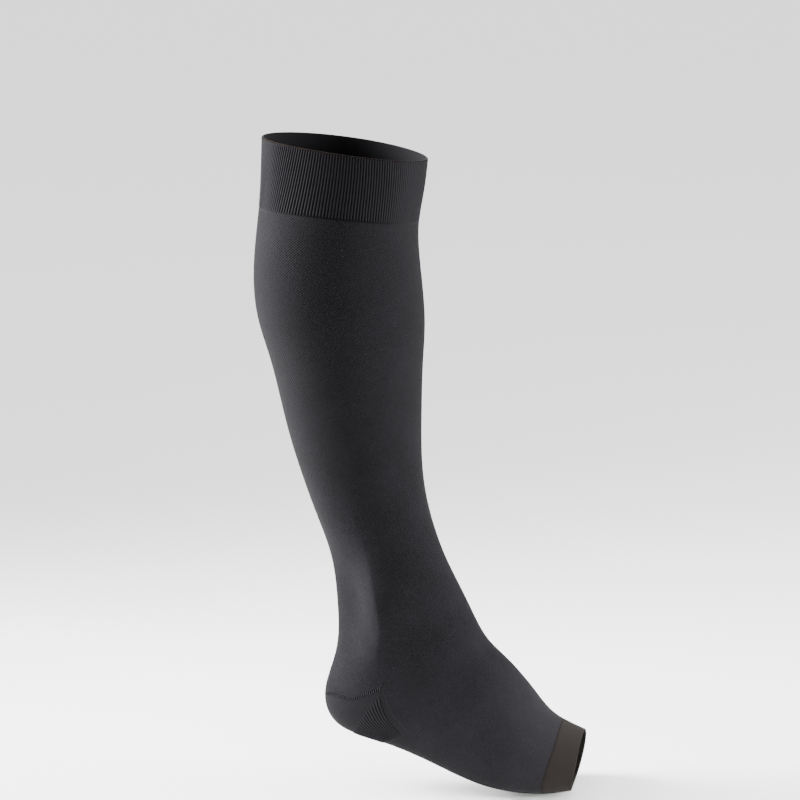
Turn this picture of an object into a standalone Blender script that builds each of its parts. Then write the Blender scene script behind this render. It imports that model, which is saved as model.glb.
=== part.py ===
"""Knee-high, open-toe compression stocking, built as it is worn on a right leg.

The wearer faces -Y with up as +Z, so the little-toe side is at -X and the big-toe side at +X.
The leg leans back a little and the foot points down.  The origin is the centre of the mouth
below the knee, where the band grips the leg.

One knitted tube, made from five stretches:
    knee_band    doubled welt with fine upright ribs, at the open mouth
    leg          thin tapered tube from the band to the heel
    heel_pocket  turned heel with short ribs under the foot
    foot         instep and sole, as thin as the leg
    toe_band     smooth edge round the open toe
"""

import bpy
import numpy as np

# Driving sizes, in millimetres and degrees ---------------------------------------------------

MM = 0.001
SEAM = 0.3                   # open gap between two stretches

LEG_WALL = 1.2
BAND_WALL = 1.5              # inside the band's grooves
TOE_WALL = 1.3

BAND_RIBS = 188
BAND_RIB_HEIGHT = 0.45

HEEL_RIBS = 38
HEEL_RIB_HEIGHT = 0.45
HEEL_RIB_REACH = 0.9         # share of the pocket's half width that the ribs cover
HEEL_PLAIN_STEPS = 4         # facets in the plain strip on each side of the ribs
HEEL_RIB_STOP = 0.94         # where the ribs end, as a share of the way to the pocket's end

OUTER_PER_INNER = 4          # ribbed outer facets over each plain inner facet

# Stations run down the middle of the leg and foot from the mouth, in millimetres.
BAND_END = 45.5
HEEL_TIP = 361.0             # side tip of the heel pocket
HEEL_RISE = 13.0             # how far the pocket's top line climbs from its tip to the back
HEEL_FOOT = 394.5            # where the pocket ends under the arch
TOE_START = 482.5

# Angles run round the leg: 0 front, 90 little-toe side, 180 back or sole, 270 big-toe side.
TIP_ANGLE = 101.0            # the pocket's side tip
FOOT_ANGLE = 119.0           # the pocket's front corner, under the arch

FRONT_STEPS = 24             # facets round the front, between the two side tips
BACK_STEPS = 20              # facets round the back
LEG_ROWS = 35
WINDOW_ROWS = 5
FOOT_ROWS = 10
HEEL_ROWS = 11
TOE_ROWS = 3

# Cross-sections from the mouth to the toes.  Front and back are the two points of each ring on
# the leg's middle plane; over the foot they are the instep and the sole.  "flat" presses that
# side of the ring flatter, "taper" makes it narrower at the front, "ridge" shifts the front
# point towards the big-toe side, "bow" bends the ring's sides down the leg.
SECTION_COLUMNS = (
    "front_y", "front_z", "back_y", "back_z", "half_width",
    "flat_front", "flat_back", "taper", "ridge", "bow", "centre",
)
SECTIONS = {
    "mouth":      (-55.5,   -7.5,   55.5,    7.5, 53.0, 0.00, 0.00, 0.00,  0.0, -1.0, 0.0),
    "band_mid":   (-53.0,  -28.0,   56.0,  -17.5, 53.0, 0.00, 0.00, 0.00,  0.0, -1.8, 0.0),
    "band_end":   (-49.5,  -49.5,   57.0,  -40.5, 53.0, 0.00, 0.00, 0.00,  0.0, -2.6, 0.0),
    "calf_top":   (-49.5,  -68.5,   59.0,  -63.5, 54.0, 0.00, 0.00, 0.03,  0.0, -1.5, 0.0),
    "calf_full":  (-52.0,  -94.0,   60.0,  -91.5, 55.0, 0.00, 0.00, 0.05,  0.0,  0.0, 0.0),
    "calf_low":   (-53.5, -119.0,   57.0, -117.0, 53.5, 0.00, 0.00, 0.06,  0.0,  0.0, 0.0),
    "calf_end":   (-52.5, -141.5,   50.5, -140.0, 50.5, 0.00, 0.00, 0.05,  0.0,  0.0, 0.0),
    "shin_mid":   (-51.5, -178.0,   40.0, -185.5, 42.5, 0.00, 0.00, 0.02,  0.0,  0.0, 0.0),
    "shin_low":   (-52.0, -213.0,   29.5, -221.5, 36.0, 0.00, 0.00, 0.00,  0.0,  0.0, 0.0),
    "ankle_top":  (-56.0, -241.0,   19.0, -251.0, 32.5, 0.00, 0.00, 0.00,  0.0,  0.0, 0.0),
    "ankle":      (-65.5, -271.5,    8.5, -284.0, 32.0, 0.00, 0.00, 0.00,  0.0,  0.0, 0.0),
    "heel_top":   (-72.5, -287.0,    5.5, -312.0, 34.5, 0.00, 0.00, 0.00,  0.0,  0.0, 0.0),
    "heel_upper": (-79.5, -300.5,    7.0, -344.0, 34.0, 0.00, 0.00, 0.00,  0.0,  0.0, 0.0),
    "heel_back":  (-85.0, -311.5,   14.5, -373.0, 32.5, 0.00, 0.00, -0.05, 0.0,  0.0, 0.0),
    "heel_round": (-91.0, -323.5,    6.5, -394.0, 32.0, 0.00, 0.08, -0.05, 0.0,  0.0, 0.0),
    "heel_base":  (-98.0, -335.0,  -22.0, -405.0, 33.0, 0.00, 0.20, 0.00,  2.0,  0.0, 0.0),
    "arch":       (-112.0, -349.5, -59.5, -417.5, 35.5, 0.00, 0.30, 0.10,  5.0,  0.0, -1.0),
    "instep":     (-128.5, -371.5, -95.0, -431.0, 41.0, 0.05, 0.34, 0.14,  9.0,  0.0, 1.0),
    "ball":       (-138.5, -386.0, -120.0, -435.5, 43.5, 0.10, 0.34, 0.12, 10.0, 0.0, 4.0),
    "toe_seam":   (-146.0, -392.5, -135.5, -436.5, 43.0, 0.12, 0.30, 0.08, 9.0,  1.0, 6.5),
    "toe_mouth":  (-161.0, -400.0, -155.5, -434.5, 39.5, 0.10, 0.26, 0.04, 7.0,  1.0, 9.0),
}

# Local swellings and hollows: station and angle of the middle, reach along the leg in
# millimetres and round it in degrees, and height in millimetres (negative for a hollow).
# Round the leg a soft one fades out, and a firm one ends in a rounded edge.
FORM_COLUMNS = ("station", "angle", "reach", "spread", "height", "edge")
FORMS = {
    "inner calf":         (101.0, 222.0, 60.0, 38.0, 3.0, "soft"),
    "outer calf":         (85.0, 140.0, 60.0, 36.0, 2.0, "soft"),
    "outer ankle":        (299.0, 98.0, 17.0, 24.0, 3.2, "soft"),
    "inner ankle":        (292.0, 263.0, 17.0, 24.0, 3.2, "soft"),
    "outer heel hollow":  (310.0, 138.0, 40.0, 37.0, -6.5, "firm"),
    "inner heel hollow":  (310.0, 222.0, 40.0, 37.0, -6.5, "firm"),
    "arch hollow":        (424.0, 228.0, 34.0, 34.0, -6.0, "soft"),
}

# Knitted yarn: colour as linear RGB, roughness.
YARN = {
    "knit_leg":   ((0.018, 0.018, 0.019), 0.85),
    "knit_band":  ((0.016, 0.016, 0.017), 0.85),
    "knit_heel":  ((0.018, 0.018, 0.019), 0.85),
    "knit_foot":  ((0.018, 0.018, 0.019), 0.85),
    "knit_toe":   ((0.020, 0.018, 0.017), 0.92),
}

# The worn surface ------------------------------------------------------------------------------


def spline(knots, values, at):
    """Natural cubic through the rows of a table, smooth in slope and bend."""
    step = np.diff(knots)
    count = len(knots)
    matrix = np.eye(count)
    right = np.zeros_like(values)
    for i in range(1, count - 1):
        matrix[i, i - 1] = step[i - 1]
        matrix[i, i] = 2.0 * (step[i - 1] + step[i])
        matrix[i, i + 1] = step[i]
        after = (values[i + 1] - values[i]) / step[i]
        before = (values[i] - values[i - 1]) / step[i - 1]
        right[i] = 6.0 * (after - before)
    bend = np.linalg.solve(matrix, right)
    k = np.clip(np.searchsorted(knots, at) - 1, 0, count - 2)
    width = step[k][:, None]
    a = (knots[k + 1] - at)[:, None] / width
    b = 1.0 - a
    line = a * values[k] + b * values[k + 1]
    return line + ((a ** 3 - a) * bend[k] + (b ** 3 - b) * bend[k + 1]) * width ** 2 / 6.0


def section_stations(table):
    """Distance of each section down the leg: the mean of its front, back and middle paths."""
    front = np.linalg.norm(np.diff(table[:, 0:2], axis=0), axis=1)
    back = np.linalg.norm(np.diff(table[:, 2:4], axis=0), axis=1)
    middle = (table[:, 0:2] + table[:, 2:4]) / 2.0
    middle = np.linalg.norm(np.diff(middle, axis=0), axis=1)
    path = middle / 2.0 + (front + back) / 4.0
    return np.concatenate([[0.0], np.cumsum(path)])


TABLE = np.array(list(SECTIONS.values()))
KNOTS = section_stations(TABLE)
LEG_END = KNOTS[-1]


def swelling(station, angle):
    """Summed height of the local forms at each point."""
    total = np.zeros_like(station)
    for row in FORMS.values():
        form = dict(zip(FORM_COLUMNS, row))
        along = (station - form["station"]) / form["reach"]
        turn = ((angle - form["angle"] + 180.0) % 360.0 - 180.0) / form["spread"]
        across = np.exp(-turn ** 2)
        if form["edge"] == "firm":
            across = np.maximum(1.0 - turn ** 2, 0.0) ** 1.25
        total += form["height"] * across * np.exp(-along ** 2)
    return total


def surface(station, angle):
    """Points of the stocking's outer face, in millimetres, for flat lists of places."""
    rows = spline(KNOTS, TABLE, station)
    column = {name: rows[:, i] for i, name in enumerate(SECTION_COLUMNS)}
    cos = np.cos(np.radians(angle))
    sin = np.sin(np.radians(angle))
    flat = (column["flat_front"] + column["flat_back"]) / 2.0
    flat = flat + cos * (column["flat_front"] - column["flat_back"]) / 2.0
    depth = cos * (1.0 + flat * (1.0 - cos ** 2))
    swell = swelling(station, angle)

    half = (rows[:, 0:2] - rows[:, 2:4]) / 2.0
    length = np.linalg.norm(half, axis=1)
    forward = half / length[:, None]
    down = np.stack([-forward[:, 1], forward[:, 0]], axis=1)
    plane = (rows[:, 0:2] + rows[:, 2:4]) / 2.0
    plane = plane + forward * (length * depth + cos * swell)[:, None]
    plane = plane + down * (column["bow"] * sin ** 2)[:, None]
    across = column["centre"] - column["half_width"] * sin * (1.0 - column["taper"] * cos)
    across = across + column["ridge"] * ((1.0 + cos) / 2.0) ** 2 - sin * swell
    return np.column_stack([across, plane])


def outward(station, angle):
    """Unit normals of the outer face, pointing away from the leg."""
    along = surface(station + 0.5, angle) - surface(station - 0.5, angle)
    turn = surface(station, angle + 0.5) - surface(station, angle - 0.5)
    normal = np.cross(turn, along)
    return normal / np.linalg.norm(normal, axis=1)[:, None]


def skin(station, angle, rise):
    """Outer face moved out by a rise (or in, if negative); keeps the shape of a grid."""
    station, angle, rise = np.broadcast_arrays(station, angle, rise)
    places = (station.ravel().astype(float), angle.ravel().astype(float))
    points = surface(*places) + outward(*places) * rise.ravel()[:, None]
    return points.reshape(station.shape + (3,))


def pace(station, angle):
    """Millimetres of cloth that one unit of station covers at a place."""
    station, angle = np.broadcast_arrays(station, angle)
    places = station.ravel().astype(float)
    turns = angle.ravel().astype(float)
    step = surface(places + 0.5, turns) - surface(places - 0.5, turns)
    return np.linalg.norm(step, axis=1).reshape(station.shape)


def heel_line(angle):
    """Station of the pocket's top line: level at its side tips, climbing to the back."""
    share = (180.0 - TIP_ANGLE - np.abs(angle - 180.0)) / (180.0 - TIP_ANGLE)
    share = np.clip(share, 0.0, 1.0)
    return HEEL_TIP - HEEL_RISE * share ** 2 * (3.0 - 2.0 * share)


# Building closed walls -------------------------------------------------------------------------


def clear_scene():
    """Empty the file before building."""
    for thing in list(bpy.data.objects):
        bpy.data.objects.remove(thing, do_unlink=True)


def yarn_material(name):
    """Matt knitted-yarn material from the YARN table."""
    colour, roughness = YARN[name]
    material = bpy.data.materials.new(name)
    material.use_nodes = True
    shader = material.node_tree.nodes["Principled BSDF"]
    shader.inputs["Base Color"].default_value = (*colour, 1.0)
    shader.inputs["Roughness"].default_value = roughness
    shader.inputs["Metallic"].default_value = 0.0
    material.diffuse_color = (*colour, 1.0)
    return material


def add_solid(name, points, faces, yarn):
    """Mesh object from points in millimetres."""
    mesh = bpy.data.meshes.new(name)
    mesh.from_pydata([tuple(p * MM) for p in points], [], faces)
    mesh.validate()
    mesh.materials.append(yarn_material(yarn))
    for polygon in mesh.polygons:
        polygon.use_smooth = True
    solid = bpy.data.objects.new(name, mesh)
    bpy.context.scene.collection.objects.link(solid)
    return solid


def grid_quads(number):
    """Quads between neighbours of a grid of point numbers, facing out of the leg."""
    quads = []
    for upper, lower in zip(number[:-1], number[1:]):
        for j in range(len(upper) - 1):
            quads.append((upper[j], upper[j + 1], lower[j + 1], lower[j]))
    return quads


def close_edges(quads, count):
    """Quads joining every free edge of a sheet to the same edge of its inner copy."""
    directed = set()
    for quad in quads:
        for a, b in zip(quad, quad[1:] + quad[:1]):
            directed.add((a, b))
    free = sorted(edge for edge in directed if (edge[1], edge[0]) not in directed)
    return [(b, a, a + count, b + count) for a, b in free]


def even_wall(name, outer, inner, quads, yarn):
    """Closed wall with matching outer and inner points."""
    count = len(outer)
    faces = list(quads)
    faces += [tuple(i + count for i in reversed(quad)) for quad in quads]
    faces += close_edges(quads, count)
    return add_solid(name, np.vstack([outer, inner]), faces, yarn)


def fan_edge(outer, inner):
    """Triangles between an edge of ribbed outer points and its coarser plain inner edge."""
    faces = []
    for j in range(len(inner) - 1):
        first = OUTER_PER_INNER * j
        middle = first + OUTER_PER_INNER // 2
        for k in range(first, first + OUTER_PER_INNER):
            anchor = inner[j] if k < middle else inner[j + 1]
            faces.append((outer[k + 1], outer[k], anchor))
        faces.append((outer[middle], inner[j], inner[j + 1]))
    return faces


def turned(faces):
    """The same faces, seen from the other side."""
    return [tuple(reversed(face)) for face in faces]


def ribbed_wall(name, outer, wraps, inner, yarn):
    """Closed wall with ribs in its outer points over a plain inside.

    Both grids have the same rows; the inner one is coarser from column to column.
    """
    rows, columns = outer.shape[:2]
    plain = inner.shape[1]
    first = rows * columns
    outside = np.arange(first).reshape(rows, columns)
    inside = np.arange(first, first + rows * plain).reshape(rows, plain)
    if wraps:
        outside = np.hstack([outside, outside[:, :1]])
        inside = np.hstack([inside, inside[:, :1]])
    outside = outside.tolist()
    inside = inside.tolist()
    faces = grid_quads(outside) + turned(grid_quads(inside))
    faces += fan_edge(outside[0], inside[0])
    faces += turned(fan_edge(outside[-1], inside[-1]))
    if not wraps:
        for i in range(rows - 1):
            upper, lower = outside[i][0], outside[i + 1][0]
            faces.append((upper, lower, inside[i + 1][0], inside[i][0]))
            upper, lower = outside[i][-1], outside[i + 1][-1]
            faces.append((lower, upper, inside[i][-1], inside[i + 1][-1]))
    points = np.vstack([outer.reshape(-1, 3), inner.reshape(-1, 3)])
    return add_solid(name, points, faces, yarn)


# The five stretches ------------------------------------------------------------------------------


def knee_band():
    """Doubled welt: upright ribs that stop just short of its plain top and lower edges."""
    columns = 2 * BAND_RIBS
    angle = np.arange(columns)[None, :] * 360.0 / columns
    crest = np.arange(columns)[None, :] % 2
    station = np.array([0.0, 1.6, BAND_END / 2.0, BAND_END - 1.6, BAND_END - SEAM / 2.0])
    raised = np.array([0.15, 1.0, 1.0, 1.0, 0.1])
    outer = skin(station[:, None], angle, 0.1 + BAND_RIB_HEIGHT * raised[:, None] * crest)
    inner = skin(station[:, None], angle[:, ::OUTER_PER_INNER], -BAND_WALL)
    return ribbed_wall("knee_band", outer, True, inner, "knit_band")


def tube_rows(stations, sides, bends):
    """Stations and angles of rows round the leg: the front columns, then the back ones.

    Side is the angle where front and back meet; bend draws the back to the heel line.
    """
    share = np.linspace(-1.0, 1.0, FRONT_STEPS + 1)
    back = np.linspace(-1.0, 1.0, BACK_STEPS + 1)[1:-1]
    angle = [np.concatenate([share * side, 180.0 + back * (180.0 - side)]) for side in sides]
    angle = np.array(angle)
    climb = heel_line(angle) - HEEL_TIP
    climb[:, :FRONT_STEPS + 1] = 0.0
    return np.array(stations)[:, None] + np.array(bends)[:, None] * climb, angle


def leg():
    """Tapered tube from the band to the heel; its lower edge climbs towards the back."""
    margin = SEAM / 2.0
    ankle = KNOTS[list(SECTIONS).index("ankle_top")]
    rows = np.linspace(BAND_END + margin, HEEL_TIP, LEG_ROWS + 1)
    bends = np.clip((rows - ankle) / (HEEL_TIP - ankle), 0.0, 1.0) ** 2
    station, angle = tube_rows(rows, [TIP_ANGLE] * len(rows), bends)
    station[-1] -= margin / pace(station[-1], angle[-1])
    number = np.arange(station.size).reshape(station.shape)
    quads = grid_quads(np.hstack([number, number[:, :1]]).tolist())
    outer = skin(station, angle, 0.0).reshape(-1, 3)
    inner = skin(station, angle, -LEG_WALL).reshape(-1, 3)
    return even_wall("leg", outer, inner, quads, "knit_leg")


def foot():
    """Instep between the heel pocket's sides, then a whole tube from the arch to the toes."""
    margin = SEAM / 2.0
    share = np.arange(WINDOW_ROWS) / WINDOW_ROWS
    beside = HEEL_TIP + (HEEL_FOOT - HEEL_TIP) * share
    below = np.linspace(HEEL_FOOT, TOE_START - margin, FOOT_ROWS + 1)
    sides = np.concatenate([TIP_ANGLE + (FOOT_ANGLE - TIP_ANGLE) * share,
                            np.full(len(below), FOOT_ANGLE)])
    rows = np.concatenate([beside, below])
    station, angle = tube_rows(rows, sides, np.zeros(len(rows)))

    # Its edges stand back by half a seam from the leg and from the pocket.
    arch = WINDOW_ROWS
    under = slice(FRONT_STEPS + 1, None)
    station[0] += margin / pace(station[0], angle[0])
    station[arch, under] += margin / pace(station[arch, under], angle[arch, under])
    turn = np.degrees(margin / TABLE[:, 4].min())
    angle[:arch + 1, 0] += turn
    angle[:arch + 1, FRONT_STEPS] -= turn

    # Rows beside the pocket have only their front columns.
    used = np.ones(station.shape, dtype=bool)
    used[:arch, FRONT_STEPS + 1:] = False
    number = np.cumsum(used.ravel()).reshape(used.shape) - 1
    closed = np.hstack([number, number[:, :1]])
    quads = grid_quads(closed[:arch + 1, :FRONT_STEPS + 1].tolist())
    quads += grid_quads(closed[arch:].tolist())
    outer = skin(station, angle, 0.0)[used]
    inner = skin(station, angle, -LEG_WALL)[used]
    return even_wall("foot", outer, inner, quads, "knit_foot")


def even_across(shares):
    """Shares of the pocket's width, respaced evenly by the cloth's length along its middle."""
    trial = np.linspace(-1.0, 1.0, 121)
    angle = 180.0 + trial * (180.0 - (TIP_ANGLE + FOOT_ANGLE) / 2.0)
    points = surface(np.full(len(trial), (HEEL_TIP + HEEL_FOOT) / 2.0), angle)
    length = np.cumsum(np.linalg.norm(np.diff(points, axis=0), axis=1))
    length = np.concatenate([[0.0], length / length[-1]])
    return np.interp(shares, 2.0 * length - 1.0, trial)


def heel_pocket():
    """Turned heel: plain cup behind, short ribs under the foot, a tip on each side."""
    margin = SEAM / 2.0
    inset = np.degrees(margin / TABLE[:, 4].min())
    plain = np.linspace(HEEL_RIB_REACH, 1.0, HEEL_PLAIN_STEPS + 1)[1:]
    ribs = np.linspace(-HEEL_RIB_REACH, HEEL_RIB_REACH, 2 * HEEL_RIBS + 1)
    across = even_across(np.concatenate([-plain[::-1], ribs, plain]))[None, :]
    crest = np.zeros_like(across)
    crest[0, HEEL_PLAIN_STEPS + 1:-HEEL_PLAIN_STEPS:2] = 1.0
    down = np.linspace(0.0, 1.0, HEEL_ROWS + 1)[:, None]

    # From the top line to the end under the arch, half a seam inside the window.
    top_angle = 180.0 + across * (180.0 - TIP_ANGLE)
    foot_angle = 180.0 + across * (180.0 - FOOT_ANGLE)
    top = heel_line(top_angle)
    top = top + margin / pace(top, top_angle)
    foot = HEEL_FOOT - margin / pace(HEEL_FOOT, foot_angle)
    station = top + (foot - top) * down
    angle = top_angle + (foot_angle - top_angle) * down - np.trunc(across) * inset

    # The ribs start on a curve that runs down from the side tips to the middle of the sole.
    start = 0.66 - 0.64 * across ** 2
    raised = np.clip((down - start) / 0.06, 0.0, 1.0)
    raised = raised * np.clip((HEEL_RIB_STOP + 0.03 - down) / 0.05, 0.0, 1.0)
    outer = skin(station, angle, HEEL_RIB_HEIGHT * raised * crest)
    coarse = slice(None, None, OUTER_PER_INNER)
    inner = skin(station[:, coarse], angle[:, coarse], -LEG_WALL)
    return ribbed_wall("heel_pocket", outer, False, inner, "knit_heel")


def toe_band():
    """Smooth, slightly thicker edge round the open toe."""
    steps = FRONT_STEPS + BACK_STEPS
    station = np.linspace(TOE_START + SEAM / 2.0, LEG_END, TOE_ROWS + 1)[:, None]
    angle = np.linspace(0.0, 360.0, steps, endpoint=False)[None, :]
    number = np.arange((TOE_ROWS + 1) * steps).reshape(TOE_ROWS + 1, steps)
    quads = grid_quads(np.hstack([number, number[:, :1]]).tolist())
    outer = skin(station, angle, 0.1).reshape(-1, 3)
    inner = skin(station, angle, 0.1 - TOE_WALL).reshape(-1, 3)
    return even_wall("toe_band", outer, inner, quads, "knit_toe")


clear_scene()
for build in (knee_band, leg, heel_pocket, foot, toe_band):
    piece = build()
    print(piece.name, "points", len(piece.data.vertices))
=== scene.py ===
# %% [markdown]
# # A compression stocking, worn and seen from the little-toe side
#
# The stocking is one knitted tube: a ribbed band below the knee, a leg that tapers to the ankle,
# a turned heel with short ribs under the foot, the foot itself, and a smooth edge round the open
# toe.  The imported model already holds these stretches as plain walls.  Here each one becomes a
# finer knitted shell on the same form.
#
# +Z is up, the toes point to -Y, and the little-toe side is at -X.  The origin is the middle of
# the open mouth below the knee.

import math

import bpy
import numpy as np
from mathutils import Matrix, Vector


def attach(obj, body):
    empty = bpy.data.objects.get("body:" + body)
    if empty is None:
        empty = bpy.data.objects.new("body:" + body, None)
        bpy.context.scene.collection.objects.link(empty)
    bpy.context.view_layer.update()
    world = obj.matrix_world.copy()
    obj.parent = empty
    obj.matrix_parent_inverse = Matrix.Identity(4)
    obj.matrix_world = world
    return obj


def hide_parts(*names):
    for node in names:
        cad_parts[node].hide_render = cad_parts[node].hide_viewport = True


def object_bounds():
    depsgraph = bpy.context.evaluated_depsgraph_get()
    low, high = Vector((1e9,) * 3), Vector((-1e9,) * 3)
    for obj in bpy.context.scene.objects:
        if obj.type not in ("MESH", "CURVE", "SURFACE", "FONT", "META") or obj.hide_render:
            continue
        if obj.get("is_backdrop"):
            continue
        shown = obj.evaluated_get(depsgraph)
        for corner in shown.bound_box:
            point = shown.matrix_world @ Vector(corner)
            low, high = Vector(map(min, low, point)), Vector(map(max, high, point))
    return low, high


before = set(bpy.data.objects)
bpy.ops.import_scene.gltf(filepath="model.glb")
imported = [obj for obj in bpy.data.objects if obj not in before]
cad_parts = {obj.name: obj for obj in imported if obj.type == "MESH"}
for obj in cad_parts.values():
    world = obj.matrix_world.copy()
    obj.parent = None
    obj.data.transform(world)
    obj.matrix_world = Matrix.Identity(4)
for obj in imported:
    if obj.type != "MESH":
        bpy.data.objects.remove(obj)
cad_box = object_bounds()
print("nodes:", sorted(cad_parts))

# %% [markdown]
# ## The form
#
# A worn stocking has no flat side, so it is easiest to describe as rings.  Each row below is one
# ring: the two points where it crosses the leg's middle plane, its half width, and a few numbers
# that bend it away from an ellipse.  A smooth curve through the rows gives every ring between
# them.  A subdivided cage could do the same, but the table keeps every girth readable.

# %% Rings from the mouth to the toes, in millimetres
MM = 0.001

# Flat makes a ring squarer than an ellipse, taper narrows its front, ridge shifts its front
# towards the big toe, bow draws its sides down the leg, and centre shifts all of it.
SECTION_COLUMNS = (
    "front_y", "front_z", "back_y", "back_z", "half_width",
    "flat_front", "flat_back", "taper", "ridge", "bow", "centre",
)
SECTIONS = {
    "mouth":      (-55.5,   -7.5,   55.5,    7.5, 53.0, 0.00, 0.00, 0.00,  0.0, -1.0, 0.0),
    "band_mid":   (-53.0,  -28.0,   56.0,  -17.5, 53.0, 0.00, 0.00, 0.00,  0.0, -1.8, 0.0),
    "band_end":   (-49.5,  -49.5,   57.0,  -40.5, 53.0, 0.00, 0.00, 0.00,  0.0, -2.6, 0.0),
    "calf_top":   (-49.5,  -68.5,   59.0,  -63.5, 54.0, 0.00, 0.00, 0.03,  0.0, -1.5, 0.0),
    "calf_full":  (-52.0,  -94.0,   60.0,  -91.5, 55.0, 0.00, 0.00, 0.05,  0.0,  0.0, 0.0),
    "calf_low":   (-53.5, -119.0,   57.0, -117.0, 53.5, 0.00, 0.00, 0.06,  0.0,  0.0, 0.0),
    "calf_end":   (-52.5, -141.5,   50.5, -140.0, 50.5, 0.00, 0.00, 0.05,  0.0,  0.0, 0.0),
    "shin_mid":   (-51.5, -178.0,   40.0, -185.5, 42.5, 0.00, 0.00, 0.02,  0.0,  0.0, 0.0),
    "shin_low":   (-52.0, -213.0,   29.5, -221.5, 36.0, 0.00, 0.00, 0.00,  0.0,  0.0, 0.0),
    "ankle_top":  (-56.0, -241.0,   19.0, -251.0, 32.5, 0.00, 0.00, 0.00,  0.0,  0.0, 0.0),
    "ankle":      (-65.5, -271.5,    8.5, -284.0, 32.0, 0.00, 0.00, 0.00,  0.0,  0.0, 0.0),
    "heel_top":   (-72.5, -287.0,    5.5, -312.0, 34.5, 0.00, 0.00, 0.00,  0.0,  0.0, 0.0),
    "heel_upper": (-79.5, -300.5,    7.0, -344.0, 34.0, 0.00, 0.00, 0.00,  0.0,  0.0, 0.0),
    "heel_back":  (-85.0, -311.5,   14.5, -373.0, 32.5, 0.00, 0.00, -0.05, 0.0,  0.0, 0.0),
    "heel_round": (-91.0, -323.5,    6.5, -394.0, 32.0, 0.00, 0.08, -0.05, 0.0,  0.0, 0.0),
    "heel_base":  (-98.0, -335.0,  -22.0, -405.0, 33.0, 0.00, 0.20, 0.00,  2.0,  0.0, 0.0),
    "arch":       (-112.0, -349.5, -59.5, -417.5, 35.5, 0.00, 0.30, 0.10,  5.0,  0.0, -1.0),
    "instep":     (-128.5, -371.5, -95.0, -431.0, 41.0, 0.05, 0.34, 0.14,  9.0,  0.0, 1.0),
    "ball":       (-138.5, -386.0, -120.0, -435.5, 43.5, 0.10, 0.34, 0.12, 10.0, 0.0, 4.0),
    "toe_seam":   (-146.0, -392.5, -135.5, -436.5, 43.0, 0.12, 0.30, 0.08, 9.0,  1.0, 6.5),
    "toe_mouth":  (-161.0, -400.0, -155.5, -434.5, 39.5, 0.10, 0.26, 0.04, 7.0,  1.0, 9.0),
}
TABLE = np.array(list(SECTIONS.values()))

# Reach is in millimetres along the leg, spread in degrees round it.
FORM_COLUMNS = ("station", "angle", "reach", "spread", "height", "edge")
FORMS = {
    "inner calf":         (101.0, 222.0, 60.0, 38.0, 3.0, "soft"),
    "outer calf":         (85.0, 140.0, 60.0, 36.0, 2.0, "soft"),
    "outer ankle":        (299.0, 98.0, 17.0, 24.0, 3.2, "soft"),
    "inner ankle":        (292.0, 263.0, 17.0, 24.0, 3.2, "soft"),
    "outer heel hollow":  (310.0, 138.0, 40.0, 37.0, -6.5, "firm"),
    "inner heel hollow":  (310.0, 222.0, 40.0, 37.0, -6.5, "firm"),
    "arch hollow":        (424.0, 228.0, 34.0, 34.0, -6.0, "soft"),
}
print("rings:", len(SECTIONS), "local forms:", len(FORMS))

# %% [markdown]
# A *station* is a distance down the leg in millimetres of cloth, measured from the mouth.  An
# *angle* runs round it: 0 at the front, 90 on the little-toe side, 180 at the back or the sole,
# and 270 on the big-toe side.  Every stitch, rib and seam below is placed by these two numbers.


# %% Smooth curve through the rings
def spline(knots, values, at):
    """Natural cubic through the rows of a table."""
    step = np.diff(knots)
    count = len(knots)
    matrix = np.eye(count)
    right = np.zeros_like(values)
    for i in range(1, count - 1):
        matrix[i, i - 1:i + 2] = step[i - 1], 2.0 * (step[i - 1] + step[i]), step[i]
        after = (values[i + 1] - values[i]) / step[i]
        before = (values[i] - values[i - 1]) / step[i - 1]
        right[i] = 6.0 * (after - before)
    bend = np.linalg.solve(matrix, right)
    k = np.clip(np.searchsorted(knots, at) - 1, 0, count - 2)
    width = step[k][:, None]
    a = (knots[k + 1] - at)[:, None] / width
    b = 1.0 - a
    line = a * values[k] + b * values[k + 1]
    return line + ((a ** 3 - a) * bend[k] + (b ** 3 - b) * bend[k + 1]) * width ** 2 / 6.0


def section_stations(table):
    """Distance of each ring down the leg: the mean of its front, back and middle paths."""
    front = np.linalg.norm(np.diff(table[:, 0:2], axis=0), axis=1)
    back = np.linalg.norm(np.diff(table[:, 2:4], axis=0), axis=1)
    middle = np.linalg.norm(np.diff((table[:, 0:2] + table[:, 2:4]) / 2.0, axis=0), axis=1)
    return np.concatenate([[0.0], np.cumsum(middle / 2.0 + (front + back) / 4.0)])


KNOTS = section_stations(TABLE)
LEG_END = KNOTS[-1]
print("length of cloth, mm:", round(LEG_END, 1))


# %% Points on the worn cloth
FIRM_EDGE = 1.25             # power that rounds the edge of a firm form; 1 would leave a crease
NEARBY = 0.5                 # millimetres or degrees to a neighbour that gives the slope


def swelling(station, angle):
    """Summed height of the local forms: soft ones fade out, firm ones end in a rounded edge."""
    total = np.zeros_like(station)
    for row in FORMS.values():
        form = dict(zip(FORM_COLUMNS, row))
        along = (station - form["station"]) / form["reach"]
        turn = ((angle - form["angle"] + 180.0) % 360.0 - 180.0) / form["spread"]
        across = np.exp(-turn ** 2)
        if form["edge"] == "firm":
            across = np.maximum(1.0 - turn ** 2, 0.0) ** FIRM_EDGE
        total += form["height"] * across * np.exp(-along ** 2)
    return total


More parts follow.
